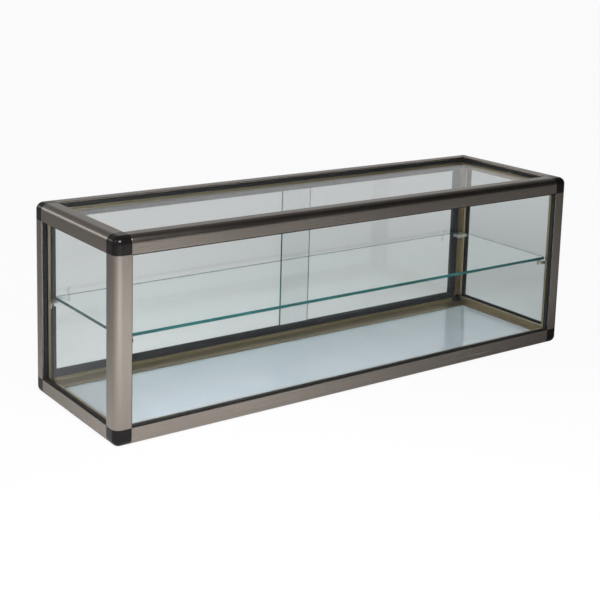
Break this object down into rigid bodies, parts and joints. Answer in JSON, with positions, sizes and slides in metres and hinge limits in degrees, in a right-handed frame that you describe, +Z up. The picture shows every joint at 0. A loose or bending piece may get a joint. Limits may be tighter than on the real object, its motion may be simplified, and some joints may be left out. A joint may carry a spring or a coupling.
{
  "type": "ambient display case",
  "caption": "Countertop glass display case with a rounded metal frame, plastic corners, a lift-out glass shelf and rear sliding glass doors.",
  "frame": {"origin": "centre of the case's footprint, on the surface that it stands on", "axes": "+X to the customer's right along the width, +Y from the fixed front glass to the rear sliding doors, +Z up"},
  "size_m": [0.9, 0.268, 0.306],
  "materials": {
    "anodised_frame": "satin bronze anodised",
    "corner_plastic": "glossy black, moulded",
    "case_glass": "clear float glass, polished edges",
    "door_glass": "clear float glass, polished edges, ground finger pulls",
    "shelf_glass": "clear float glass, polished edges",
    "glazing_gasket": "matt black",
    "deck": "glossy white laminate",
    "door_track": "satin black, extruded",
    "clip_metal": "bright plated",
    "screw_steel": "plain",
    "clear_bumper": "clear, soft"
  },
  "bodies": {
    "case": {"top_front_rail": "anodised_frame", "top_rear_rail": "anodised_frame", "top_left_rail": "anodised_frame", "top_right_rail": "anodised_frame", "bottom_front_rail": "anodised_frame", "bottom_rear_rail": "anodised_frame", "bottom_left_rail": "anodised_frame", "bottom_right_rail": "anodised_frame", "front_left_post": "anodised_frame", "front_right_post": "anodised_frame", "rear_left_post": "anodised_frame", "rear_right_post": "anodised_frame", "corner_bottom_front_left": "corner_plastic", "corner_bottom_front_right": "corner_plastic", "corner_bottom_rear_left": "corner_plastic", "corner_bottom_rear_right": "corner_plastic", "corner_top_front_left": "corner_plastic", "corner_top_front_right": "corner_plastic", "corner_top_rear_left": "corner_plastic", "corner_top_rear_right": "corner_plastic", "front_glass": "case_glass", "left_glass": "case_glass", "right_glass": "case_glass", "top_glass": "case_glass", "front_gasket": "glazing_gasket", "left_gasket": "glazing_gasket", "right_gasket": "glazing_gasket", "top_gasket": "glazing_gasket", "deck_board": "deck", "lower_door_track": "door_track", "upper_door_track": "door_track", "left_door_jamb": "door_track", "right_door_jamb": "door_track", "shelf_clip_front_left": "clip_metal", "shelf_clip_front_right": "clip_metal", "shelf_clip_rear_left": "clip_metal", "shelf_clip_rear_right": "clip_metal", "clip_screws": "screw_steel", "shelf_bumpers": "clear_bumper"},
    "left_door": {"left_door": "door_glass"},
    "right_door": {"right_door": "door_glass"},
    "shelf": {"shelf": "shelf_glass"}
  },
  "joints": [
    {"name": "left_door_slide", "type": "slide", "parent": "case", "child": "left_door", "axis": [1, 0, 0], "range_m": [0, 0.356]},
    {"name": "right_door_slide", "type": "slide", "parent": "case", "child": "right_door", "axis": [-1, 0, 0], "range_m": [0, 0.438]},
    {"name": "shelf_lift", "type": "slide", "parent": "case", "child": "shelf", "axis": [0, 0, 1], "range_m": [0, 0.1]}
  ]
}
